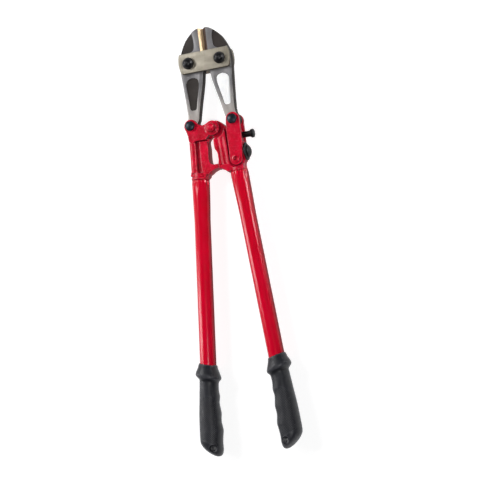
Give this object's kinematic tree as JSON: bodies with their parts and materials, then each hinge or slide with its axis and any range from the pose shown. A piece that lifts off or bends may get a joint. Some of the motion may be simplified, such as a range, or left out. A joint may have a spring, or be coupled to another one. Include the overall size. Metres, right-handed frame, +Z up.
{
  "type": "bolt cutters",
  "caption": "Compound-leverage bolt cutters: forged blades between side plates, a forked and a linked handle head, splayed round handles and grips; spreading the handles opens the blades.",
  "frame": {"origin": "under the middle of the closed tool's box, on the surface it lies on", "axes": "+Y from the grips to the blades, +Z up off the surface towards the bolt heads, +X towards the adjusting screw"},
  "size_m": [0.1408, 0.5818, 0.0397],
  "materials": {
    "blade_steel": "forged dark grey flats, ground edges, dark recesses",
    "plate_steel": "brushed, warm grey",
    "black_oxide": "black oxide",
    "blued_steel": "blue-black oxide",
    "red_paint_forged": "gloss red paint over forged steel",
    "red_paint_tube": "gloss red paint over steel tube",
    "black_rubber": "moulded charcoal rubber",
    "white_label": "plain white label"
  },
  "bodies": {
    "side_plates": {"front_side_plate": "plate_steel", "rear_side_plate": "plate_steel", "left_blade_bolt": "black_oxide", "right_blade_bolt": "black_oxide", "left_blade_nut": "black_oxide", "right_blade_nut": "black_oxide"},
    "left_jaw": {"left_blade": "blade_steel"},
    "right_jaw": {"right_blade": "blade_steel", "right_blade_label": "white_label"},
    "left_handle": {"left_handle_fork": "red_paint_forged", "left_tube": "red_paint_tube", "left_grip": "black_rubber", "left_tail_bolt": "blued_steel", "left_tail_nut": "blued_steel", "centre_pivot_bolt": "red_paint_forged", "centre_pivot_nut": "red_paint_forged"},
    "link": {"front_link": "red_paint_forged", "rear_link": "red_paint_forged", "link_upper_bolt": "blued_steel", "link_upper_nut": "blued_steel", "link_lower_bolt": "red_paint_forged", "link_lower_nut": "red_paint_forged"},
    "right_handle": {"right_handle_head": "red_paint_forged", "right_tube": "red_paint_tube", "right_grip": "black_rubber", "lock_flange": "black_oxide"},
    "adjusting_screw": {"adjusting_screw": "black_oxide"},
    "lock_screw": {"lock_screw": "black_oxide"}
  },
  "joints": [
    {"name": "left_jaw_hinge", "type": "hinge", "parent": "side_plates", "child": "left_jaw", "pos_m": [-0.0226, 0.2429, 0.017], "axis": [0, 0, 1], "range_deg": [0, 10.87]},
    {"name": "left_handle_hinge", "type": "hinge", "parent": "left_jaw", "child": "left_handle", "pos_m": [-0.0301, 0.1565, 0.017], "axis": [0, 0, -1], "range_deg": [0, 60.87]},
    {"name": "right_jaw_hinge", "type": "hinge", "parent": "side_plates", "child": "right_jaw", "pos_m": [0.0226, 0.2429, 0.017], "axis": [0, 0, -1], "range_deg": [0, 10.87]},
    {"name": "right_link_hinge", "type": "hinge", "parent": "right_jaw", "child": "link", "pos_m": [0.0301, 0.1565, 0.017], "axis": [0, 0, 1], "range_deg": [0, 60.87]},
    {"name": "link_adjust_hinge", "type": "hinge", "parent": "link", "child": "right_handle", "pos_m": [0.0288, 0.1019, 0.017], "axis": [0, 0, 1], "range_deg": [0, 1]},
    {"name": "adjusting_screw_turn", "type": "hinge", "parent": "right_handle", "child": "adjusting_screw", "pos_m": [0.05, 0.1343, 0.017], "axis": [1, 0, 0], "range_deg": [0, 160.1]},
    {"name": "lock_screw_turn", "type": "hinge", "parent": "right_handle", "child": "lock_screw", "pos_m": [0.044, 0.1111, 0.017], "axis": [1, 0, 0], "range_deg": [0, 180]}
  ],
  "couplings": [
    {"joint": "left_jaw_hinge", "follows": "left_handle_hinge", "ratio": 0.17851},
    {"joint": "right_jaw_hinge", "follows": "left_handle_hinge", "ratio": 0.17851},
    {"joint": "right_link_hinge", "follows": "left_handle_hinge", "ratio": 1},
    {"joint": "adjusting_screw_turn", "follows": "link_adjust_hinge", "ratio": 160}
  ]
}
